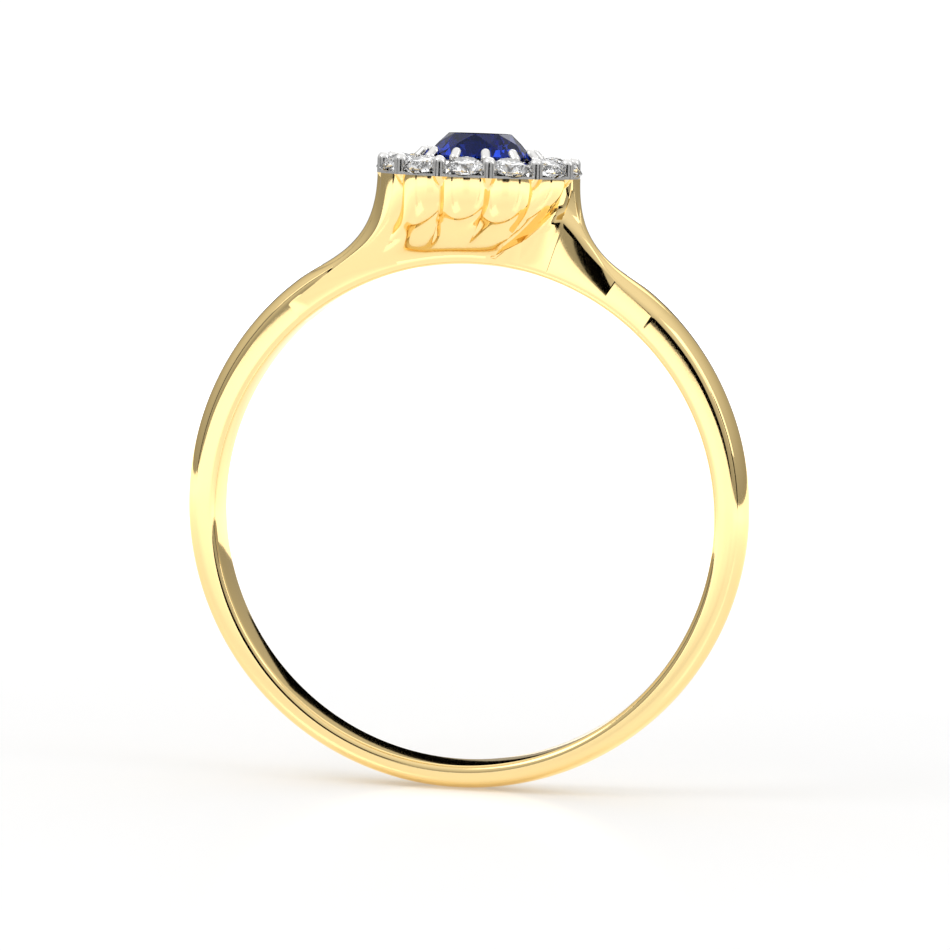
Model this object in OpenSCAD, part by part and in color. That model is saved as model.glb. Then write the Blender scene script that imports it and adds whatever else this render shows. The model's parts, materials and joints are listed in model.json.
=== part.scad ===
// Swirl cluster ring: a D band whose two shoulders pass each other under a round
// halo head. Origin at the centre of the finger hole, Y along the finger, Z up
// through the centre stone.

/* [Band] */
// Inside diameter, which is the finger size
finger_d = 17.0; // [14:0.1:22]
// Radial thickness of the band at the bottom, opposite the stones
band_t = 0.85; // [0.7:0.01:1.4]
// How much thicker the band is at its sides than at the bottom
side_rise = 0.25; // [0.1:0.05:0.4]
// Width of the band along the finger
band_w = 2.0; // [1.6:0.1:3]
// Height of the rounded inner edge of the band
edge_h = 0.3; // [0.2:0.05:0.5]
// How far the inner edge is rounded back from the side of the band
edge_w = 0.2; // [0.1:0.05:0.4]
// Angle from the stone to the joint between band and shoulder
joint_angle = 42; // [40:1:46]

/* [Head] */
// Diameter of the fluted gallery at its rim
head_d = 6.9; // [6.3:0.1:8.5]
// Height of the rim above the finger hole
head_h = 2.95; // [2.6:0.05:4]
// Radius of each rounded pillar of the gallery
pillar_r = 0.92; // [0.9:0.01:1.2]
// Diameter of the light hole from the finger hole up to the centre stone
well_d = 1.1; // [0.8:0.1:1.3]
// Height of the ridge's peak above the finger hole, on the side of the head
peak_h = 1.35; // [1.2:0.05:1.8]
// How far the foot under each outer claw runs down its groove
foot_h = 0.45; // [0.3:0.05:0.8]

/* [Stones] */
// Girdle diameter of the centre stone
centre_d = 3.55; // [3:0.05:4.2]
// Height of the centre stone's girdle above the rim
centre_lift = 0.62; // [0.4:0.02:1]
// Girdle diameter of a halo stone
halo_d = 1.3; // [1:0.05:1.4]
// Pitch radius of the halo stones
halo_r = 2.9; // [2.8:0.05:3.4]
// Height of the halo stones' girdles above the rim
halo_lift = 0.36; // [0.3:0.02:0.6]
// Outward tilt of the halo stones
halo_tilt = 18; // [10:1:25]

/* [Claws] */
// Radius of an outer claw
outer_claw_r = 0.22; // [0.18:0.01:0.3]
// Pitch radius of the outer claws
outer_pitch = 3.22; // [3.1:0.02:3.6]
// Height of the outer claws above the rim
outer_h = 0.7; // [0.5:0.05:1]
// Radius of an inner claw
inner_claw_r = 0.17; // [0.12:0.01:0.22]
// Pitch radius of the inner claws
inner_pitch = 2.03; // [1.95:0.01:2.3]
// Gap between a stone and the metal that holds it
stone_gap = 0.01; // [0.005:0.005:0.03]
// Solder gap round the halo seat and the collet in their recesses
solder_gap = 0.01; // [0.005:0.005:0.03]

/* [Setting] */
// Depth of the recess in the rim that the halo seat sits in
seat_depth = 0.75; // [0.6:0.05:1]
// Radius of the spigot under the halo seat
seat_r = 2.7; // [2.5:0.05:2.9]
// Distance from the stone axis to the flats of the seat's plate
plate_r = 3.3; // [3.1:0.05:3.6]
// Thickness of the seat's plate at its outer edge
plate_t = 0.08; // [0.06:0.01:0.15]
// Radius of the step under the plate, sunk into the rim
sunk_r = 2.95; // [2.9:0.01:2.98]
// Depth of the step under the plate
sunk_h = 0.25; // [0.2:0.01:0.35]
// Outside radius of the centre collet
collet_r = 1.93; // [1.8:0.01:2.05]
// Depth of the centre collet below the rim
collet_depth = 1.15; // [0.9:0.05:1.4]

/* [Hidden] */
n_halo = 12;
step = 360 / n_halo;
bore_r = finger_d / 2;
head_r = head_d / 2;
rim_z = bore_r + head_h;
peak_z = bore_r + peak_h;
big = 60;
pillar_c = head_r - pillar_r;
seat_z = rim_z - seat_depth;
collet_z = rim_z - collet_depth;
sunk_z = rim_z - sunk_h;
hollow_floor = 0.5;
hollow_wall = 0.4;
hollow_z = bore_r + hollow_floor;
hollow_d = 2 * (collet_r - hollow_wall);
halo_z = rim_z + halo_lift;
centre_z = rim_z + centre_lift;

function pad(i) = i < 10 ? str("0", i) : str(i);
OUTER = [for (i = [1 : n_halo]) str("outer_claw_", pad(i))];
INNER = [for (i = [1 : n_halo]) str("inner_claw_", pad(i))];
HALO = [for (i = [1 : n_halo]) str("halo_diamond_", pad(i))];
MAIN = ["shank", "front_arm", "back_arm", "halo_seat", "centre_collet", "sapphire"];

GOLD = [0.93, 0.77, 0.42];
WHITE_GOLD = [0.9, 0.9, 0.91];
BLUE = [0.07, 0.1, 0.5];
CLEAR = [0.88, 0.92, 0.97];

// ---- small helpers ----
function mix(a, b, t) = a + (b - a) * t;
function ease(t) = t <= 0 ? 0 : t >= 1 ? 1 : t * t * (3 - 2 * t);
function share(x, a, b) = (x - a) / (b - a);
function unit(v) = v / norm(v);
function bezier(p, t) =
    let (s = 1 - t)
    s * s * s * p[0] + 3 * s * s * t * p[1] + 3 * s * t * t * p[2] + t * t * t * p[3];
// A point given by its angle from the stone about the finger, its place along
// the finger and its distance from the finger's axis.
function around(p) = [p[2] * sin(p[0]), p[1], p[2] * cos(p[0])];
function half_turn(v) = [-v[0], -v[1], v[2]];

// ---- section of the band ----
// s runs from 0 at the front side of the band over its top to 1 at the back side.
// The outside turns about a centre side_rise above the finger's axis, and dome()
// gives the section about that centre. section() gives it on the plane of a joint.
side_y = band_w / 2;
flank_r = bore_r + edge_h;
dome_power = 0.85;
function dome(s) =
    [-side_y * cos(180 * s),
     flank_r + side_rise + (band_t - edge_h) * pow(sin(180 * s), dome_power)];
function section(s) =
    let (p = dome(s), x = side_rise * sin(joint_angle))
    [p[0], side_rise * cos(joint_angle) + sqrt(p[1] * p[1] - x * x)];
// The rounded inner edge, from the side of the band at v = 0 to the bore at 90.
edge_r = bore_r + 0.8 * edge_h;
function inner_edge(y, v) =
    [y * (1 - edge_w / side_y * (1 - cos(v))), mix(edge_r, bore_r, sin(v))];

// ---- lower border of a shoulder and its half of the gallery ----
// Columns are numbered by the angle a at the rim, from the front towards +X.
// Each comes down from the rim and ends on the border at [angle, y, r].
ridge_a = -100;
flat_a = -92.5;
corner_a = -65;
open_a = 45;
peak_a = ridge_a + 180;
peak_angle = 17;
peak_r = peak_z / cos(peak_angle);
open_angle = 5.2;
ridge_s = 0.97;
face_y = -0.95;
lap_y = -1.12;
function border(a) =
    a < flat_a
        ? let (u = share(a, ridge_a, flat_a), end = section(ridge_s))
          [-mix(peak_angle, joint_angle, u), mix(end[0], -face_y, pow(1 - u, 1.5)),
           mix(end[1], peak_r, pow(1 - u, 2.2))]
    : a < corner_a
        ? let (p = section(mix(ridge_s, 0, share(a, flat_a, corner_a))))
          [-joint_angle, p[0], p[1]]
    : a < open_a
        ? let (u = share(a, corner_a, open_a))
          [mix(-joint_angle, open_angle, sqrt(u)), mix(-side_y, lap_y, ease(1.4 * u)),
           mix(section(0)[1], flank_r, ease(1.5 * sqrt(u)))]
    : let (u = share(a, open_a, peak_a))
      [mix(open_angle, peak_angle, pow(u, 0.8)), mix(lap_y, face_y, ease(u)),
       mix(flank_r, peak_r, pow(u, 0.8))];
// Place along the finger of the face under the border.
function face_at(a) =
    a < flat_a ? border(a)[1]
    : a < corner_a ? mix(side_y, -side_y, share(a, flat_a, corner_a))
    : mix(border(a)[1], face_y, ease(share(a, open_a - 10, open_a + 5)));
// Direction in which a column arrives at the border: along the band at the joint,
// and with a pull down, along the finger and along the band away from it.
straight_a = 15;
ridge_pull = 0.6;
down_pull = 0.9;
side_pull = 0.8;
along_pull = 0.5;
function arrival(a) =
    let (b = border(a), along = [-cos(b[0]), 0, sin(b[0])], down = [-sin(b[0]), 0, -cos(b[0])],
         side = [0, 1, 0])
    a < flat_a
        ? let (u = share(a, ridge_a, flat_a))
          unit(mix([0, 0, -1], along, ease(u)) + ridge_pull * u * (1 - u) * side)
    : a < corner_a ? along
    : let (u = sqrt(min(1, share(a, corner_a, straight_a))), v = ease(share(a, open_a, peak_a)),
           pull = down_pull * down + side_pull * side + along_pull * along)
      unit(mix((1 - u) * along + u * pull, [0, 0, -1], v));
// Control points of the smooth column under a flute. The flutes get shallower
// where the columns crowd together, so that the skin never folds.
near_reach = 2.2;
far_reach = 5.2;
far_top = 2.35;
far_end = 2.3;
near_top = 0.42;
near_end = 0.34;
function column(a) =
    let (rim = [head_r * sin(a), -head_r * cos(a), rim_z], end = around(border(a)),
         reach = norm(end - rim), far = ease(share(reach, near_reach, far_reach)))
    [rim, rim - [0, 0, mix(near_top * reach, far_top, far)],
     end - arrival(a) * mix(near_end * reach, far_end, far), end];
// Depth under the head's round outline of a circle of radius r at the pitch c, seen
// at the angle d from its middle; past the circle's side it is the whole radius.
function dip(c, r, d) =
    let (x = c * sin(d)) abs(x) < r ? head_r - c * cos(d) - sqrt(r * r - x * x) : head_r;
function flute(a) = dip(pillar_c, pillar_r, a - step * round(a / step));
// The flute with a claw's foot in it, at a drop below the rim.
groove = flute(step / 2);
function footed(a, drop) =
    min(flute(a), groove * drop / foot_h
        + dip(outer_pitch, outer_claw_r, a - step * (floor(a / step) + 0.5)));
function smooth_point(a, t) =
    a > peak_a ? half_turn(smooth_point(a - 180, t))
    : a < ridge_a ? half_turn(smooth_point(a + 180, t))
    : bezier(column(a), t);
fade_from = 0.5;
fade_to = 0.9;
function skin(a, t) =
    let (e = 0.01, tt = min(t, 1 - e), du = smooth_point(a + e, tt) - smooth_point(a - e, tt),
         dv = smooth_point(a, tt + e) - smooth_point(a, tt), n = cross(dv, du),
         spread = min(1, norm(n) / norm(dv) / (2 * head_r * sin(e))),
         fade = 1 - ease(share(t, fade_from, fade_to)))
    smooth_point(a, t) - unit(n) * footed(a, rim_z - smooth_point(a, t)[2]) * spread * fade;
// The face under the border: its foot at w = 0, and the rounded edge of the finger
// hole up to w = edge_w, where the bore begins.
function under(a, w) =
    around([border(a)[0], face_at(a) * (1 - w),
            mix(edge_r, bore_r, sqrt(1 - pow(1 - w / edge_w, 2)))]);
// The bore, from the edge at u = 0 to the light hole at u = 1.
well_r = well_d / 2;
function bore(a, u) =
    around([mix(border(a)[0], asin(well_r * sin(a) / bore_r), u),
            mix(face_at(a) * (1 - edge_w), -well_r * cos(a), u), bore_r]);

// ---- one shoulder with its half of the gallery ----
// The light hole, the hollow over it and the recesses of the collet and the seat,
// as [distance from the stone axis, height], from the light hole up to the rim.
socket_c = collet_r + solder_gap;
socket_s = seat_r + solder_gap;
socket_k = sunk_r + solder_gap;
SOCKET = [[well_r, hollow_z], [hollow_d / 2, collet_z], [socket_c, collet_z], [socket_c, seat_z],
          [socket_s, seat_z], [socket_s, sunk_z], [socket_k, sunk_z], [socket_k, rim_z]];
cols = 72;
rows = 14;
bore_rows = 8;
function col_angle(i) = ridge_a + 180 * i / cols;
// One closed outline: down the skin, round the edge, along the bore and up inside.
function outline(a) = let (p = skin(a, 0)) concat([[p[0], p[1], rim_z]],
    [for (j = [1 : rows]) skin(a, j / rows)], [for (w = [0, 0.3, 1]) under(a, w * edge_w)],
    [for (k = [1 : bore_rows]) bore(a, k / bore_rows)],
    [for (q = SOCKET) [q[0] * sin(a), -q[0] * cos(a), q[1]]]);
edge_i = rows + 3;
well_i = edge_i + bore_rows;
m = well_i + len(SOCKET) + 1;
// A cap closes one end of the arm. Each corner of the socket is joined to the
// outside below its own height, and the bore is a fan under the hollow.
end_z = [for (p = outline(ridge_a)) p[2]];
function below(z) = min([for (j = [0 : edge_i]) if (j == edge_i || end_z[j] < z - 0.05) j]);
join = [edge_i, for (k = [1 : len(SOCKET) - 3]) below(SOCKET[2 * floor(k / 2) + 1][1]), 0];
CAP = concat(
    [for (k = [edge_i : well_i - 1]) [well_i + 1, k, k + 1]],
    [for (k = [0 : len(SOCKET) - 2]) [well_i + 1 + k, well_i + 2 + k, join[k]]],
    [for (k = [0 : len(SOCKET) - 3], j = [join[k + 1] : 1 : join[k] - 1]) [well_i + 2 + k, j, j + 1]]);
module arm() {
    pts = [for (i = [0 : cols]) each outline(col_angle(i))];
    function at(i, j) = i * m + j % m;
    skirt = [for (i = [0 : cols - 1], j = [0 : m - 1]) each
        [[at(i, j), at(i + 1, j), at(i, j + 1)], [at(i + 1, j), at(i + 1, j + 1), at(i, j + 1)]]];
    start = [for (t = CAP) [t[0], t[1], t[2]]];
    end = [for (t = CAP) [cols * m + t[2], cols * m + t[1], cols * m + t[0]]];
    polyhedron(pts, concat(skirt, start, end));
}

// ---- stones ----
// A round brilliant with its girdle plane at z = 0.
function ring_at(r, z, n, turn) =
    [for (k = [0 : n - 1]) [r * cos(360 * k / n + turn), r * sin(360 * k / n + turn), z]];
module brilliant(d, table, crown, pavilion, girdle) {
    r = d / 2;
    rt = r * table;
    mid_x = mix(rt, r, 0.45);
    low_x = r * 0.25;
    crown_z = girdle / 2 + crown;
    mid_z = crown_z - crown * share(mid_x, rt, r);
    low_z = -girdle / 2 - pavilion * (1 - low_x / r);
    turn = 22.5;
    pts = concat(
        ring_at(rt, crown_z, 8, 0),
        ring_at(mid_x / cos(turn), mid_z, 8, turn),
        ring_at(r, girdle / 2, 16, 0),
        ring_at(r, -girdle / 2, 16, 0),
        ring_at(low_x / cos(turn), low_z, 8, turn),
        [[0, 0, -girdle / 2 - pavilion]]);
    T = 0;
    M = 8;
    U = 16;
    D = 32;
    L = 48;
    C = 56;
    faces = [for (k = [0 : 7]) let (n = (k + 1) % 8, g = 2 * k, h = 2 * k + 1, f = (2 * k + 2) % 16) each [
        [T + n, M + k, T + k],
        [T + k, M + k, U + g], [T + n, U + f, M + k],
        [M + k, U + h, U + g], [M + k, U + f, U + h],
        [U + g, U + h, D + h, D + g], [U + h, U + f, D + f, D + h],
        [L + k, D + g, D + h], [L + k, D + h, D + f],
        [L + k, C, D + g], [L + k, D + f, C]]];
    polyhedron(pts, concat([[7, 6, 5, 4, 3, 2, 1, 0]], faces));
}
crown_share = 0.21;
halo_crown_share = 0.15;
halo_pavilion_share = 0.43;
pavilion_share = 0.4;
halo_crown = halo_d * halo_crown_share;
halo_pavilion = halo_d * halo_pavilion_share;
centre_crown = centre_d * crown_share;
centre_pavilion = centre_d * pavilion_share;
centre_table = 0.6;
halo_table = 0.57;
halo_girdle = 0.04;
centre_girdle = 0.1;
// Round body that the metal is cut back to, one gap larger than the stone.
module stone_space(d, table, crown, pavilion, girdle) {
    r = d / 2 + stone_gap;
    g = girdle / 2 + stone_gap;
    rotate_extrude($fn = 48)
        polygon([[0, -g - pavilion], [r, -g], [r, g], [r * table, g + crown], [0, g + crown]]);
}
module centre_place() translate([0, 0, centre_z]) children();
module halo_place(i) rotate([0, 0, i * step - 90]) translate([halo_r, 0, halo_z])
    rotate([0, halo_tilt, 0]) children();
module centre_space() centre_place()
    stone_space(centre_d, centre_table, centre_crown, centre_pavilion, centre_girdle);
module halo_space(i) halo_place(i)
    stone_space(halo_d, halo_table, halo_crown, halo_pavilion, halo_girdle);
module sapphire() color(BLUE) centre_place()
    brilliant(centre_d, centre_table, centre_crown, centre_pavilion, centre_girdle);
module halo_diamond(i) color(CLEAR) halo_place(i)
    brilliant(halo_d, halo_table, halo_crown, halo_pavilion, halo_girdle);

module claw_place(i, r) rotate([0, 0, (i + 0.5) * step - 90]) translate([r, 0, 0]) children();

// ---- band and shoulders ----
inside_r = bore_r - side_rise - edge_h;
module turned(points) rotate([90, 0, 0]) rotate_extrude($fn = 128) polygon(points);
module shank() color(GOLD) difference() {
    translate([0, 0, side_rise])
        turned([[inside_r, side_y], [inside_r, -side_y],
                for (k = [0 : 24]) let (p = dome(k / 24)) [p[1], p[0]]]);
    turned([[0, -band_w], [edge_r, -band_w],
            for (v = [0 : 15 : 90]) let (p = inner_edge(-side_y, v)) [p[1], p[0]],
            for (v = [90 : -15 : 0]) let (p = inner_edge(side_y, v)) [p[1], p[0]],
            [edge_r, band_w], [0, band_w]]);
    rotate([90, 0, 0]) linear_extrude(height = big, center = true)
        polygon([[0, 0], [big * sin(joint_angle), big * cos(joint_angle)],
                 [-big * sin(joint_angle), big * cos(joint_angle)]]);
}
module front_arm() color(GOLD) arm();
module back_arm() color(GOLD) rotate([0, 0, 180]) arm();

// ---- white gold setting ----
lip_drop = 0.17;
lip_z = centre_z - lip_drop;
plate_h = (plate_r - collet_r) * tan(halo_tilt);
flat = 1 / cos(step / 2);
module halo_seat() color(WHITE_GOLD) difference() {
    union() {
        rotate_extrude($fn = 96) polygon([[0, seat_z], [seat_r, seat_z], [seat_r, sunk_z],
            [sunk_r, sunk_z], [sunk_r, rim_z + plate_t / 2], [0, rim_z + plate_t / 2]]);
        rotate([0, 0, step / 2]) translate([0, 0, rim_z]) {
            cylinder(r = plate_r * flat, h = plate_t, $fn = n_halo);
            translate([0, 0, plate_t])
                cylinder(r1 = plate_r * flat, r2 = collet_r * flat, h = plate_h, $fn = n_halo);
        }
    }
    cylinder(r = collet_r, h = big, $fn = 96);
    for (i = [0 : n_halo - 1]) {
        halo_place(i) translate([0, 0, -halo_pavilion - halo_girdle])
            cylinder(r1 = 0, r2 = halo_d / 2, h = halo_pavilion, $fn = 48);
        claw_place(i, inner_pitch) cylinder(r = inner_claw_r, h = big, $fn = 24);
        claw_place(i, outer_pitch) translate([0, 0, rim_z])
            cylinder(r = outer_claw_r, h = big, $fn = 24);
    }
}
module centre_collet() color(WHITE_GOLD) difference() {
    translate([0, 0, collet_z]) cylinder(r = collet_r, h = lip_z - collet_z, $fn = 96);
    cylinder(d = hollow_d, h = big, $fn = 96);
    centre_space();
    for (i = [0 : n_halo - 1]) claw_place(i, inner_pitch) cylinder(r = inner_claw_r, h = big, $fn = 24);
}
module outer_claw(i) color(WHITE_GOLD) difference() {
    claw_place(i, outer_pitch) {
        translate([0, 0, rim_z]) cylinder(r = outer_claw_r, h = outer_h - outer_claw_r, $fn = 24);
        translate([0, 0, rim_z + outer_h - outer_claw_r]) sphere(r = outer_claw_r, $fn = 24);
    }
    halo_space(i);
    halo_space(i + 1);
}
knee_drop = 0.02;
knee_z = centre_z - knee_drop;
tip_lean = 42;
tip_l = 0.24;
module inner_claw(i) color(WHITE_GOLD) difference() {
    claw_place(i, inner_pitch) {
        translate([0, 0, seat_z]) cylinder(r = inner_claw_r, h = knee_z - seat_z, $fn = 24);
        translate([0, 0, knee_z]) {
            sphere(r = 1.06 * inner_claw_r, $fn = 24);
            rotate([0, -tip_lean, 0]) {
                cylinder(r = inner_claw_r, h = tip_l, $fn = 24);
                translate([0, 0, tip_l]) sphere(r = inner_claw_r, $fn = 24);
            }
        }
    }
    centre_space();
    halo_space(i);
    halo_space(i + 1);
}

shank();
front_arm();
back_arm();
halo_seat();
centre_collet();
sapphire();
for (i = [0 : n_halo - 1]) {
    outer_claw(i);
    inner_claw(i);
    halo_diamond(i);
}
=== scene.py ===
# %% [markdown]
# # A swirl cluster ring, in looks
# The ring is a D-shaped gold band whose two shoulders pass each other under a
# round, fluted gallery. Twelve small diamonds and one sapphire sit on top in
# white gold. The exact model is loaded first as a fixed frame. Pieces that need
# finer curves or sharper facets are then built over it, and everything else
# keeps its shape and gets a real finish.

# %% Load the fixed frame
import json
import math

import bmesh
import bpy
from mathutils import Matrix, Vector


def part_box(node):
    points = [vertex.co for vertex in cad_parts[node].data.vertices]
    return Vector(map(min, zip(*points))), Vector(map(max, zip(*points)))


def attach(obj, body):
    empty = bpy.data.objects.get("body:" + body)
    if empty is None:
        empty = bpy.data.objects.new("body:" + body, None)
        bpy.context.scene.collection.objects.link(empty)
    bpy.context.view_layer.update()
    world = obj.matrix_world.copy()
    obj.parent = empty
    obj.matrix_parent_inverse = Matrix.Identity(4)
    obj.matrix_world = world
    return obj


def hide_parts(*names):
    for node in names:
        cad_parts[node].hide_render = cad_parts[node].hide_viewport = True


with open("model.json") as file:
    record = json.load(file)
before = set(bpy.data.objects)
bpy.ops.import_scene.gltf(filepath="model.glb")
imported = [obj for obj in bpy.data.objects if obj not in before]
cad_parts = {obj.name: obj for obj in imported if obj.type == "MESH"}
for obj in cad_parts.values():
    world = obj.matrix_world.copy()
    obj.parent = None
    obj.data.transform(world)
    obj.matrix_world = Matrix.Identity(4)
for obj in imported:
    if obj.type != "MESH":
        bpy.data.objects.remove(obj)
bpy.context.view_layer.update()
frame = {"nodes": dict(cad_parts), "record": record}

nodes = frame["nodes"]

# %% [markdown]
# ## Sizes read from the frame
# A ring is worked out in millimetres and seen in metres. The bore, the rim of
# the gallery and the width of the band are read from the record and from the
# boxes of the exact pieces, so this file stays true to them. Typing them again
# would be quicker, but only one of two copies is ever corrected.

# %% Sizes of the ring in millimetres
MM = 0.001


def box_mm(node):
    low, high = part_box(node)
    return low / MM, high / MM


bore = next(m for m in frame["record"]["mounts"] if m["name"] == "finger_bore")
bore_r = bore["dims"]["r_mm"]
band_low, band_high = box_mm("shank")
side_y = band_high.y
outer_r = -band_low.z
# The outside of the band is turned about a centre this far above the bore's.
side_rise = band_high.x - outer_r
rim_z = box_mm("front_arm")[1].z
print("bore", bore_r, "band", round(outer_r - bore_r, 3))
print("rise", round(side_rise, 3), "rim", round(rim_z, 3))

# %% [markdown]
# ## Small tools
# Three blending functions turn up in every curve below: a straight mix, a soft
# start and stop, and the share of the way between two numbers. A finished mesh
# goes into the scene through one function, so that each piece rides on the
# ring's one body and stands for its exact nodes.

# %% Blending, and how a finished mesh joins the ring
def mix(a, b, t):
    return a + (b - a) * t


def ease(t):
    t = max(0.0, min(1.0, t))
    return t * t * (3 - 2 * t)


def share(x, a, b):
    return (x - a) / (b - a)


def place_piece(name, bm, replaced, smooth=True, sharp_deg=None):
    bmesh.ops.scale(bm, vec=(MM, MM, MM), verts=bm.verts)
    for face in bm.faces:
        face.smooth = smooth
    if sharp_deg is not None:
        for edge in bm.edges:
            if len(edge.link_faces) == 2:
                edge.smooth = edge.calc_face_angle() < math.radians(sharp_deg)
    mesh = bpy.data.meshes.new(name)
    bm.to_mesh(mesh)
    piece = bpy.data.objects.new(name, mesh)
    bpy.context.scene.collection.objects.link(piece)
    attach(piece, "root")
    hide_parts(*replaced)
    open_edges = sum(not edge.is_manifold for edge in bm.edges)
    print(name, "faces", len(mesh.polygons), "open edges", open_edges)
    bm.free()
    return piece


# %% [markdown]
# ## The camera
# The ring stands upright and is seen almost along the finger, from a little to
# the right and a little above, with a slight roll. A long lens keeps the circle
# round. The camera comes first, because every later choice is judged through it.

# %% A long lens, aimed by the middle of the bore
# The view is this wide at the ring.
VIEW_MM = 32.2
LENS_MM = 180
SENSOR_MM = 36
azimuth, elevation, roll = math.radians(9), math.radians(5), math.radians(2)
level = math.cos(elevation)
back = Vector((math.sin(azimuth) * level, -math.cos(azimuth) * level, math.sin(elevation)))
camera = bpy.data.objects.new("camera", bpy.data.cameras.new("camera"))
bpy.context.scene.collection.objects.link(camera)
bpy.context.scene.camera = camera
camera.data.lens = LENS_MM
camera.data.sensor_width = SENSOR_MM
camera.data.clip_start = 0.01
turn = (-back).to_track_quat("-Z", "Y").to_matrix() @ Matrix.Rotation(roll, 3, "Z")
distance = VIEW_MM / SENSOR_MM * LENS_MM
# The middle of the bore sits a little left of the middle of the view and below it.
aim = turn @ Vector((0.27, 1.31, 0))
camera.matrix_world = Matrix.Translation((aim + back * distance) * MM) @ turn.to_4x4()
print("camera", round(distance), "mm away")

# %% [markdown]
# ## The D section of the band
# A comfort band is flat inside, rounded outside and eased at its inner edges.
# One function gives the section as a place along the finger and a distance from
# its axis. The outside is turned a little off centre, as on the real ring, so the
# band is thinnest at the bottom and grows towards the shoulders. The section at
# the joint comes from the same function, so band and shoulder meet with no step.

# %% The section of the band
EDGE_H = 0.3
EDGE_W = 0.2
# Share of the eased edge's height that is rounded, below a narrow flat side.
ROUNDED = 0.8
DOME_POWER = 0.85
flank_r = bore_r + EDGE_H
edge_r = bore_r + ROUNDED * EDGE_H


JOINT_DEG = 42


def dome(s):
    across, height = math.cos(math.pi * s), math.sin(math.pi * s)
    dome_h = (outer_r - flank_r) * max(0, height) ** DOME_POWER
    return -side_y * across, flank_r + side_rise + dome_h


def from_bore(r, angle):
    return side_rise * math.cos(angle) + math.sqrt(r * r - (side_rise * math.sin(angle)) ** 2)


def section(s):
    y, r = dome(s)
    return y, from_bore(r, math.radians(JOINT_DEG))


def inner_edge(y, v):
    return y * (1 - EDGE_W / side_y * (1 - math.cos(v))), mix(edge_r, bore_r, math.sin(v))


def around(theta, y, r):
    a = math.radians(theta)
    return Vector((r * math.sin(a), y, r * math.cos(a)))


print("top of the section", [round(x, 3) for x in section(0.5)])

# %% [markdown]
# ## The band
# The real band is a drawn D-shaped wire bent round a mandrel and soldered to the
# shoulders. A spin does the same thing here: the section is drawn once as a
# closed wire and turned about the finger's axis, from one joint round to the
# other. A curve with a bevel object would also work, but a spin keeps exact
# rings of vertices at both joints.

# %% Spin the band from joint to joint
STEPS = 200
DOME_STEPS = 48
EDGE_STEPS = 10

bm = bmesh.new()
wire = [dome(k / DOME_STEPS) for k in range(DOME_STEPS + 1)]
wire += [inner_edge(side_y, math.pi / 2 * k / EDGE_STEPS) for k in range(EDGE_STEPS + 1)]
wire += [inner_edge(-side_y, math.pi / 2 * (1 - k / EDGE_STEPS)) for k in range(EDGE_STEPS + 1)]
ring = [bm.verts.new(around(JOINT_DEG, y, r)) for y, r in wire]
face = bm.faces.new(ring)
bmesh.ops.spin(bm, geom=[face], cent=(0, 0, 0), axis=(0, 1, 0),
               angle=math.radians(360 - 2 * JOINT_DEG), steps=STEPS)
bmesh.ops.remove_doubles(bm, verts=bm.verts, dist=1e-5)
# The outside alone moves over to its own centre, and the bore stays round.
for vert in bm.verts:
    r = math.hypot(vert.co.x, vert.co.z)
    if r > edge_r + 0.01:
        grown = from_bore(r, math.atan2(vert.co.x, vert.co.z)) / r
        vert.co = (vert.co.x * grown, vert.co.y, vert.co.z * grown)
bmesh.ops.recalc_face_normals(bm, faces=bm.faces)
band = place_piece("band", bm, ["shank"], sharp_deg=35)

# %% [markdown]
# ## How a shoulder flows into the gallery
# The gallery is twelve rounded pillars under the halo. They run down, lean
# together and pour into one shoulder each side, as if combed. Each point of that
# skin is named by a column, which is its angle at the rim, and by how far down
# the column it is. The column is one smooth curve from the rim to the border of
# the shoulder, and the pillars are cut into it as arcs that fade out below.

# %% The border that the columns run down to
HEAD_R = 3.45
PEAK_H = 1.35
PEAK_Z = bore_r + PEAK_H
RIDGE_A, FLAT_A, CORNER_A, OPEN_A, PEAK_A = -100, -92.5, -65, 45, 80
PEAK_DEG, OPEN_DEG = 17, 5.2
PEAK_R = PEAK_Z / math.cos(math.radians(PEAK_DEG))
RIDGE_S, FACE_Y, LAP_Y = 0.97, -0.95, -1.12


# The powers in it say how soon each stretch of the border leaves its start.
def border(a):
    if a < FLAT_A:
        u = share(a, RIDGE_A, FLAT_A)
        y, r = section(RIDGE_S)
        y, r = mix(y, -FACE_Y, (1 - u) ** 1.5), mix(r, PEAK_R, (1 - u) ** 2.2)
        return -mix(PEAK_DEG, JOINT_DEG, u), y, r
    if a < CORNER_A:
        return (-JOINT_DEG, *section(mix(RIDGE_S, 0, share(a, FLAT_A, CORNER_A))))
    if a < OPEN_A:
        u = share(a, CORNER_A, OPEN_A)
        r = mix(section(0)[1], flank_r, ease(1.5 * math.sqrt(u)))
        y = mix(-side_y, LAP_Y, ease(1.4 * u))
        return mix(-JOINT_DEG, OPEN_DEG, math.sqrt(u)), y, r
    u = share(a, OPEN_A, PEAK_A)
    y, r = mix(LAP_Y, FACE_Y, ease(u)), mix(flank_r, PEAK_R, u ** 0.8)
    return mix(OPEN_DEG, PEAK_DEG, u ** 0.8), y, r


def face_at(a):
    if a < FLAT_A:
        return border(a)[1]
    if a < CORNER_A:
        return mix(side_y, -side_y, share(a, FLAT_A, CORNER_A))
    return mix(border(a)[1], FACE_Y, ease(share(a, OPEN_A - 10, OPEN_A + 5)))


print("border at the joint", [round(x, 2) for x in border(CORNER_A)])

# %% One smooth column from the rim to the border
DOWN = Vector((0, 0, -1))
SIDE = Vector((0, 1, 0))
RIDGE_PULL = 0.6
INWARD_PULL, SIDE_PULL, ALONG_PULL = 0.9, 0.8, 0.5
STRAIGHT_A = 15
# Columns shorter or longer than these are bent by a share of their length or by
# a fixed length, at their top and at their end.
NEAR, FAR = 2.2, 5.2
NEAR_TOP, FAR_TOP = 0.42, 2.35
NEAR_END, FAR_END = 0.34, 2.3


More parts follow.
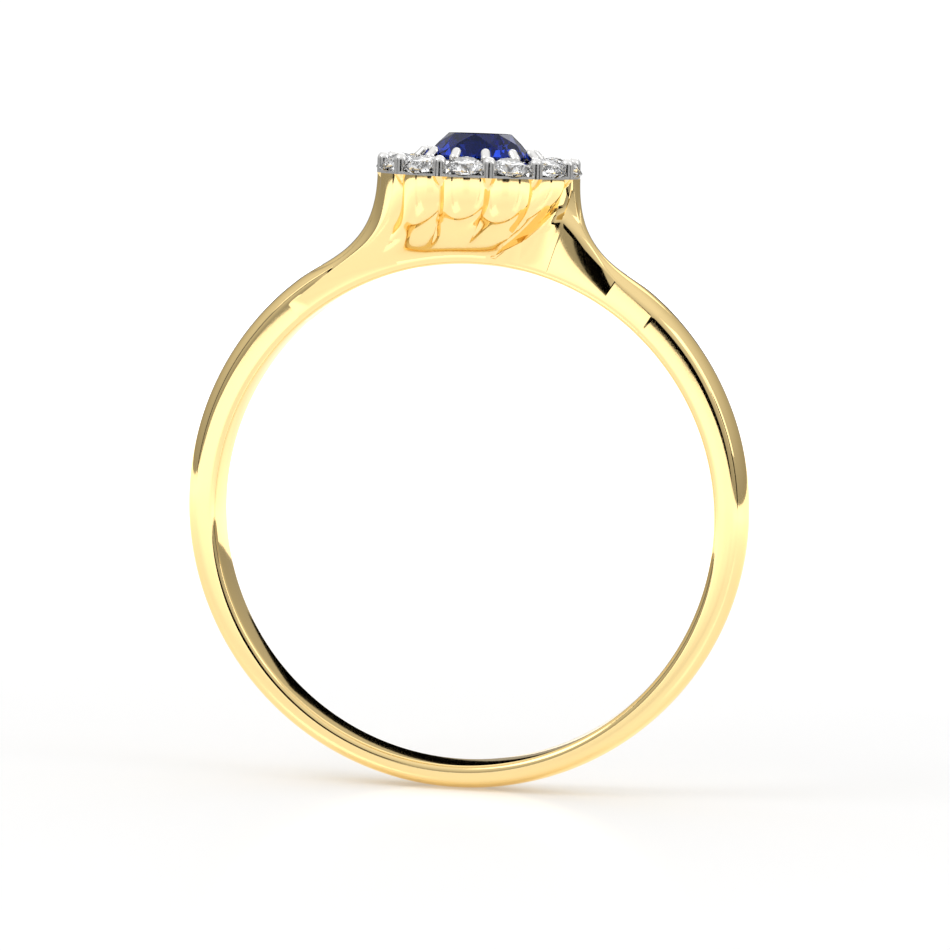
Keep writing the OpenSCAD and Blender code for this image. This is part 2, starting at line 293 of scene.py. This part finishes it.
def arrival(a):
    b = math.radians(border(a)[0])
    along = Vector((-math.cos(b), 0, math.sin(b)))
    inward = Vector((-math.sin(b), 0, -math.cos(b)))
    if a < FLAT_A:
        u = share(a, RIDGE_A, FLAT_A)
        return (mix(DOWN, along, ease(u)) + RIDGE_PULL * u * (1 - u) * SIDE).normalized()
    if a < CORNER_A:
        return along
    u = math.sqrt(min(1, share(a, CORNER_A, STRAIGHT_A)))
    sweep = (1 - u) * along + u * (INWARD_PULL * inward + SIDE_PULL * SIDE + ALONG_PULL * along)
    return mix(sweep, DOWN, ease(share(a, OPEN_A, PEAK_A))).normalized()


def column(a):
    turned = math.radians(a)
    start = Vector((HEAD_R * math.sin(turned), -HEAD_R * math.cos(turned), rim_z))
    end = around(*border(a))
    reach = (end - start).length
    far = ease(share(reach, NEAR, FAR))
    below = start + DOWN * mix(NEAR_TOP * reach, FAR_TOP, far)
    before = end - arrival(a) * mix(NEAR_END * reach, FAR_END, far)
    return start, below, before, end


def bezier(p, t):
    s = 1 - t
    return s * s * s * p[0] + 3 * s * s * t * p[1] + 3 * s * t * t * p[2] + t * t * t * p[3]


def half_turn(p):
    return Vector((-p.x, -p.y, p.z))


def seam_column(a):
    if a > PEAK_A:
        return [half_turn(p) for p in column(a - 180)]
    if a < RIDGE_A:
        return [half_turn(p) for p in column(a + 180)]
    return column(a)


print("middle of the front column", [round(x, 2) for x in bezier(column(0), 0.5)])

# %% The flutes between the pillars, with a foot under each claw
PILLAR_R = 0.92
PILLAR_C = HEAD_R - PILLAR_R
CLAW_PITCH, CLAW_R = 3.22, 0.22
FOOT_H = 0.45
STEP_DEG = 30


def dip(c, r, d):
    x = c * math.sin(math.radians(d))
    if abs(x) >= r:
        return HEAD_R
    return HEAD_R - c * math.cos(math.radians(d)) - math.sqrt(r * r - x * x)


groove = dip(PILLAR_C, PILLAR_R, STEP_DEG / 2)


def flute(a, drop):
    pillar = dip(PILLAR_C, PILLAR_R, a - STEP_DEG * round(a / STEP_DEG))
    foot = dip(CLAW_PITCH, CLAW_R, a - STEP_DEG * (math.floor(a / STEP_DEG) + 0.5))
    return min(pillar, foot + groove * drop / FOOT_H)


# The skin's slope is taken over these small steps across and down a column.
SLIVER_DEG = 0.05
SLIVER = 0.01
FADE_FROM, FADE_TO = 0.5, 0.9


def skin(a, shares):
    left, here, right = seam_column(a - SLIVER_DEG), seam_column(a), seam_column(a + SLIVER_DEG)
    even = 2 * HEAD_R * math.sin(math.radians(SLIVER_DEG))
    points = []
    for t in shares:
        near = min(t, 1 - SLIVER)
        across = bezier(right, near) - bezier(left, near)
        down = bezier(here, near + SLIVER) - bezier(here, near)
        normal = down.cross(across)
        spread = min(1, normal.length / down.length / even)
        fade = 1 - ease(share(t, FADE_FROM, FADE_TO))
        p = bezier(here, t)
        points.append(p - normal.normalized() * flute(a, rim_z - p.z) * spread * fade)
    return points


print("depth of a groove", round(groove, 3))

# %% [markdown]
# ## The two shoulders
# Each shoulder carries half of the gallery, cast in one piece. A flat grid is
# made by the operator and then laid on the skin: its columns are the columns of
# the gallery, and its rows go down the skin, round the eased edge, through the
# bore and up inside the setting. The first and last rows are welded and the two
# ends are filled, so each shoulder is closed. The second one is the first turned
# by half a turn, as on the real ring.

# %% One outline of the shoulder, down the skin and back up inside
# The light hole, the hollow over it and the recesses of the collet and the seat.
WELL_R, HOLLOW_R = 0.55, 1.53
COLLET_R, SEAT_R, STEP_R = 1.94, 2.71, 2.96
hollow_z = bore_r + 0.5
collet_z, seat_z, step_z = rim_z - 1.15, rim_z - 0.75, rim_z - 0.25
SOCKET = [(WELL_R, hollow_z), (HOLLOW_R, collet_z), (COLLET_R, collet_z), (COLLET_R, seat_z),
          (SEAT_R, seat_z), (SEAT_R, step_z), (STEP_R, step_z), (STEP_R, rim_z)]
SKIN_ROWS = 60
BORE_ROWS = 24
# The rows lie a little closer together near the rim.
ROW_POWER = 1.15
skin_shares = [(j / SKIN_ROWS) ** ROW_POWER for j in range(SKIN_ROWS + 1)]


def outline(a):
    theta, _, _ = border(a)
    foot_y = face_at(a)
    points = skin(a, skin_shares)
    points[0].z = rim_z
    for v in (0.0, 0.25, 0.5, 0.75, 1.0):
        w = 1 - math.cos(math.pi / 2 * v)
        r = mix(edge_r, bore_r, math.sin(math.pi / 2 * v))
        points.append(around(theta, foot_y * (1 - w * EDGE_W), r))
    sin_a, cos_a = math.sin(math.radians(a)), math.cos(math.radians(a))
    well_deg = math.degrees(math.asin(WELL_R * sin_a / bore_r))
    for k in range(1, BORE_ROWS + 1):
        u = k / BORE_ROWS
        y = mix(foot_y * (1 - EDGE_W), -WELL_R * cos_a, u)
        points.append(around(mix(theta, well_deg, u), y, bore_r))
    points += [Vector((r * sin_a, -r * cos_a, z)) for r, z in SOCKET]
    return points


rows = len(outline(0))
print("points in one outline", rows)

# %% Lay a grid on the outlines and close it
# Columns crowd together by the ridge at both ends, where the skin turns sharply.
STRETCHES = ((RIDGE_A, FLAT_A, 60), (FLAT_A, CORNER_A, 60),
             (CORNER_A, OPEN_A, 210), (OPEN_A, PEAK_A, 110))
column_angles = [RIDGE_A]
for start, end, count in STRETCHES:
    column_angles += [mix(start, end, i / count) for i in range(1, count + 1)]
COLUMNS = len(column_angles) - 1


def shoulder(turned):
    bm = bmesh.new()
    bmesh.ops.create_grid(bm, x_segments=COLUMNS, y_segments=rows, size=1)
    grid = sorted(bm.verts, key=lambda v: (round(v.co.x, 5), round(v.co.y, 5)))
    for i, a in enumerate(column_angles):
        points = outline(a)
        for j, vert in enumerate(grid[i * (rows + 1):(i + 1) * (rows + 1)]):
            vert.co = points[j % rows]
    bmesh.ops.remove_doubles(bm, verts=bm.verts, dist=1e-6)
    bmesh.ops.holes_fill(bm, edges=[e for e in bm.edges if e.is_boundary])
    ends = [f for f in bm.faces if len(f.verts) > 4]
    bmesh.ops.triangulate(bm, faces=ends)
    if turned:
        half = Matrix.Rotation(math.pi, 3, "Z")
        bmesh.ops.rotate(bm, cent=(0, 0, 0), matrix=half, verts=bm.verts)
    bmesh.ops.recalc_face_normals(bm, faces=bm.faces)
    return bm


front_shoulder = place_piece(
    "front_shoulder", shoulder(False), ["front_arm"], sharp_deg=38)
back_shoulder = place_piece(
    "back_shoulder", shoulder(True), ["back_arm"], sharp_deg=38)

# %% [markdown]
# ## The stones
# A round brilliant is cut as a ring of mirrors: a flat table, eight star facets,
# eight kites and sixteen small facets above the girdle, and eight long mains
# with sixteen halves below it. The corners of those facets are a few rings of
# points, and the smallest convex skin round them has exactly the cut faces. So
# the operator for a convex hull cuts the stone, with no list of faces.

# %% Cut a brilliant from its rings of corners
# Where the star facets and the lower halves end, as shares of the crown, of the
# pavilion and of the radius, and the tiny flat at the point.
STAR_OUT, STAR_H = 0.48, 0.56
HALVES_R, HALVES_H = 0.24, 0.79
CULET = 0.012
FLAT_DEG = 0.5


def brilliant(diameter, table, crown, pavilion, girdle):
    r, g = diameter / 2, girdle / 2
    corner = math.cos(math.pi / 16)
    rings = [(table, g + crown, 8, 0.0), (mix(table, 1, STAR_OUT) / corner, g + crown * STAR_H, 8, 22.5),
             (1, g, 16, 0.0), (1, -g, 16, 0.0),
             (HALVES_R / corner, -g - pavilion * HALVES_H, 8, 22.5), (CULET, -g - pavilion, 8, 22.5)]
    bm = bmesh.new()
    for radius, z, count, offset in rings:
        for k in range(count):
            a = math.radians(360 * k / count + offset)
            bm.verts.new((r * radius * math.cos(a), r * radius * math.sin(a), z))
    bmesh.ops.convex_hull(bm, input=bm.verts)
    bmesh.ops.dissolve_limit(bm, angle_limit=math.radians(FLAT_DEG), verts=bm.verts, edges=bm.edges)
    bmesh.ops.recalc_face_normals(bm, faces=bm.faces)
    return bm


CENTRE_D, CENTRE_TABLE, CENTRE_GIRDLE = 3.55, 0.6, 0.1
CENTRE_CROWN, CENTRE_PAVILION = CENTRE_D * 0.21, CENTRE_D * 0.4
bm = brilliant(CENTRE_D, CENTRE_TABLE, CENTRE_CROWN, CENTRE_PAVILION, CENTRE_GIRDLE)
top = box_mm("sapphire")[1].z
bmesh.ops.translate(bm, vec=(0, 0, top - CENTRE_CROWN - CENTRE_GIRDLE / 2), verts=bm.verts)
centre_stone = place_piece("centre_stone", bm, ["sapphire"], smooth=False)

# %% Twelve halo stones, each tilted outwards on its own seat
N_HALO = 12
HALO_D, HALO_R, HALO_LIFT, HALO_TILT = 1.3, 2.9, 0.36, 18
HALO_TABLE, HALO_GIRDLE = 0.57, 0.04
tilt = Matrix.Rotation(math.radians(HALO_TILT), 3, "Y")
halo_stones = []
for i in range(N_HALO):
    bm = brilliant(HALO_D, HALO_TABLE, HALO_D * 0.15, HALO_D * 0.43, HALO_GIRDLE)
    bmesh.ops.rotate(bm, cent=(0, 0, 0), matrix=tilt, verts=bm.verts)
    bmesh.ops.translate(bm, vec=(HALO_R, 0, rim_z + HALO_LIFT), verts=bm.verts)
    place = Matrix.Rotation(math.radians(STEP_DEG * i - 90), 3, "Z")
    bmesh.ops.rotate(bm, cent=(0, 0, 0), matrix=place, verts=bm.verts)
    number = f"{i + 1:02d}"
    halo_stones.append(place_piece(
        "halo_stone_" + number, bm, ["halo_diamond_" + number], smooth=False))

# %% [markdown]
# ## Finishes
# Every material starts from what the real one is and how its surface was made.
# Colours are written as sRGB hex values and one function turns them to linear
# light, which is what the shader works in. One function adds a node with its
# settings and links, so each finish below reads as a short recipe.

# %% Colour and node helpers
def linear(hex_colour):
    channels = [int(hex_colour[k:k + 2], 16) / 255 for k in (1, 3, 5)]
    return [c / 12.92 if c <= 0.04045 else ((c + 0.055) / 1.055) ** 2.4 for c in channels] + [1.0]


def add(tree, kind, inputs=None, **settings):
    node = tree.nodes.new(kind)
    for key, value in settings.items():
        setattr(node, key, value)
    for key, value in (inputs or {}).items():
        if isinstance(value, bpy.types.NodeSocket):
            tree.links.new(value, node.inputs[key])
        else:
            node.inputs[key].default_value = value
    return node


def new_material(name):
    material = bpy.data.materials.new(name)
    material.use_nodes = True
    tree = material.node_tree
    tree.nodes.clear()
    return material, tree


print("gold in linear light", [round(c, 3) for c in linear("#F7DB9C")])

# %% [markdown]
# ### Polished yellow gold, 14 carat
# Cast, sanded and buffed to a mirror. The buff leaves hairlines a few hundredths
# of a millimetre apart, and a faint waviness that bends long reflections. The
# hairlines are too fine to see at this distance, so they are drawn at 0.05 mm
# and only roughen the gloss a little. The waviness is a soft bump about 2 mm long.

# %% Yellow gold
def polished_metal(name, colour, edge_tint, roughness, hairline_mm, wave_mm, wave_depth_mm):
    material, tree = new_material(name)
    place = add(tree, "ShaderNodeTexCoord").outputs["Object"]
    wave = add(tree, "ShaderNodeTexNoise", {
        "Vector": place, "Scale": 1 / (wave_mm * MM), "Detail": 1.0})
    hair = add(tree, "ShaderNodeTexNoise", {
        "Vector": place, "Scale": 1 / (hairline_mm * MM), "Detail": 2.0})
    gloss = add(tree, "ShaderNodeMapRange", {
        "Value": hair.outputs["Fac"], "From Min": 0.35, "From Max": 0.7,
        "To Min": roughness * 0.7, "To Max": roughness * 1.5})
    bump = add(tree, "ShaderNodeBump", {
        "Height": wave.outputs["Fac"], "Strength": 0.35, "Distance": wave_depth_mm * MM})
    shader = add(tree, "ShaderNodeBsdfPrincipled", {
        "Base Color": linear(colour), "Metallic": 1.0, "Specular Tint": linear(edge_tint),
        "Roughness": gloss.outputs["Result"], "Normal": bump.outputs["Normal"]})
    add(tree, "ShaderNodeOutputMaterial", {"Surface": shader.outputs["BSDF"]})
    return material


yellow_gold = polished_metal(
    "14k yellow gold, cast and mirror polished", "#F7DB9C", "#FFF4D8",
    roughness=0.06, hairline_mm=0.05, wave_mm=2.0, wave_depth_mm=0.02)
white_gold = polished_metal(
    "white gold, rhodium plated and polished", "#F4F3F1", "#FFFFFF",
    roughness=0.07, hairline_mm=0.05, wave_mm=0.8, wave_depth_mm=0.01)
print(yellow_gold.name, "|", white_gold.name)

# %% [markdown]
# ### Sapphire and diamond
# Corundum bends light by 1.77 and its blue comes from iron and titanium, which
# swallow light along its path, so the deep facets look almost black and the
# crown flashes. Diamond bends light by 2.42, takes no colour and throws most of
# it back through the table. Both are cut on a wheel charged with diamond grit
# and leave facets with no visible texture, so what varies is only a faint cloud
# of colour zoning. One liberty is taken: in this bright tent white glints would
# wash the sapphire out, so its glints are tinted blue, which a real stone's
# are not.

# %% Stone materials
def gem(name, low_colour, high_colour, glint_colour, ior, zoning_mm):
    material, tree = new_material(name)
    place = add(tree, "ShaderNodeTexCoord").outputs["Object"]
    zone = add(tree, "ShaderNodeTexNoise", {
        "Vector": place, "Scale": 1 / (zoning_mm * MM), "Detail": 2.0})
    ramp = add(tree, "ShaderNodeMix", {
        "Factor": zone.outputs["Fac"], "A": linear(low_colour), "B": linear(high_colour)},
        data_type="RGBA")
    shader = add(tree, "ShaderNodeBsdfPrincipled", {
        "Roughness": 0.0, "IOR": ior, "Transmission Weight": 1.0,
        "Specular Tint": linear(glint_colour)})
    tree.links.new(ramp.outputs["Result"], shader.inputs["Base Color"])
    add(tree, "ShaderNodeOutputMaterial", {"Surface": shader.outputs["BSDF"]})
    return material


sapphire = gem("blue sapphire, faceted corundum", "#0A1A78", "#1C3CB0", "#6478CC", 1.77, 1.2)
diamond = gem("diamond, brilliant cut", "#FAFCFF", "#FFFFFF", "#FFFFFF", 2.42, 0.6)
for piece in (band, front_shoulder, back_shoulder):
    piece.data.materials.append(yellow_gold)
centre_stone.data.materials.append(sapphire)
for piece in halo_stones:
    piece.data.materials.append(diamond)
for name, node in nodes.items():
    if name in ("halo_seat", "centre_collet") or "claw" in name:
        node.data.materials.clear()
        node.data.materials.append(white_gold)
print("finished pieces:", 3 + 1 + len(halo_stones))

# %% [markdown]
# ## Floor and light
# Polished gold shows whatever stands round it, so the studio is most of the
# look. It is a white tent: bright above, softer at the sides. The lens looks
# through a hole in the tent, and that hole shows as a dark patch wherever the
# metal faces the lens. Black cards at the sides and behind darken the edges of
# the gold and the table of the sapphire.

# %% A pale floor under the ring
FLOOR_R = 400
bm = bmesh.new()
bmesh.ops.create_circle(bm, cap_ends=True, segments=96, radius=FLOOR_R * MM)
bmesh.ops.translate(bm, vec=(0, 0, band_low.z * MM), verts=bm.verts)
mesh = bpy.data.meshes.new("floor")
bm.to_mesh(mesh)
bm.free()
floor = bpy.data.objects.new("floor", mesh)
bpy.context.scene.collection.objects.link(floor)
material, tree = new_material("white acrylic sheet, softly glossy")
place = add(tree, "ShaderNodeTexCoord").outputs["Object"]
away = add(tree, "ShaderNodeVectorMath", {0: place}, operation="LENGTH").outputs["Value"]
# The glow grows away from the ring, so that the sheet's far edge isn't seen.
bright = add(tree, "ShaderNodeMapRange", {
    "Value": away, "From Min": 30 * MM, "From Max": 120 * MM, "To Min": 0.33, "To Max": 1.1})
matt = add(tree, "ShaderNodeBsdfDiffuse", {"Color": linear("#F7F7F7")})
glow = add(tree, "ShaderNodeEmission", {"Color": linear("#FFFFFF"), "Strength": bright.outputs["Result"]})
lit = add(tree, "ShaderNodeAddShader", {0: matt.outputs["BSDF"], 1: glow.outputs["Emission"]})
sheen = add(tree, "ShaderNodeBsdfAnisotropic", {"Color": linear("#FFFFFF"), "Roughness": 0.16})
both = add(tree, "ShaderNodeMixShader", {0: 0.22, 1: lit.outputs["Shader"], 2: sheen.outputs["BSDF"]})
add(tree, "ShaderNodeOutputMaterial", {"Surface": both.outputs["Shader"]})
floor.data.materials.append(material)

# %% The white tent and the dark hole round the lens
world = bpy.data.worlds.new("tent")
bpy.context.scene.world = world
world.use_nodes = True
tree = world.node_tree
tree.nodes.clear()
sky = add(tree, "ShaderNodeTexCoord").outputs["Generated"]
height = add(tree, "ShaderNodeSeparateXYZ", {"Vector": sky}).outputs["Z"]
glow = add(tree, "ShaderNodeMapRange", {
    "Value": height, "From Min": -0.1, "From Max": 0.8, "To Min": 0.3, "To Max": 0.97})
seen = add(tree, "ShaderNodeLightPath").outputs["Is Camera Ray"]
strength = add(tree, "ShaderNodeMix", {
    "Factor": seen, "A": glow.outputs["Result"], "B": 1.05}, data_type="FLOAT")
tent = add(tree, "ShaderNodeBackground", {
    "Color": linear("#FFFFFF"), "Strength": strength.outputs["Result"]})
add(tree, "ShaderNodeOutputWorld", {"Surface": tent.outputs["Background"]})


def card(name, centre, size, strength):
    bm = bmesh.new()
    bmesh.ops.create_grid(bm, x_segments=1, y_segments=1, size=0.5)
    bmesh.ops.scale(bm, vec=(size[0] * MM, size[1] * MM, 1), verts=bm.verts)
    facing = (-Vector(centre)).to_track_quat("Z", "Y").to_matrix().to_4x4()
    bmesh.ops.transform(bm, matrix=Matrix.Translation(Vector(centre) * MM) @ facing, verts=bm.verts)
    mesh = bpy.data.meshes.new(name)
    bm.to_mesh(mesh)
    bm.free()
    piece = bpy.data.objects.new(name, mesh)
    bpy.context.scene.collection.objects.link(piece)
    material, tree = new_material(name + ", matt paper")
    glow = add(tree, "ShaderNodeEmission", {"Color": linear("#FFFFFF"), "Strength": strength})
    add(tree, "ShaderNodeOutputMaterial", {"Surface": glow.outputs["Emission"]})
    piece.data.materials.append(material)
    piece.visible_camera = False
    piece.visible_shadow = False
    return piece


card("lens_hole", back * 300, (150, 120), 0.0)
card("flag_back", (-40, 245, 34), (150, 44), 0.0)
card("flag_left", (-210, -150, 40), (34, 260), 0.0)
card("flag_right", (230, -90, 40), (40, 260), 0.0)


def softbox(name, centre, size, watts):
    lamp = bpy.data.objects.new(name, bpy.data.lights.new(name, "AREA"))
    lamp.data.shape = "RECTANGLE"
    lamp.data.size, lamp.data.size_y = size[0] * MM, size[1] * MM
    lamp.data.energy = watts
    lamp.location = Vector(centre) * MM
    lamp.rotation_euler = (-lamp.location).to_track_quat("-Z", "Y").to_euler()
    bpy.context.scene.collection.objects.link(lamp)
    return lamp


softbox("key", (-160, -150, 220), (160, 160), 0.14)
softbox("fill", (220, -60, 120), (120, 160), 0.07)
softbox("back_light", (0, 240, 160), (200, 100), 0.06)
bpy.context.scene.view_settings.view_transform = "Standard"
print("lights placed")
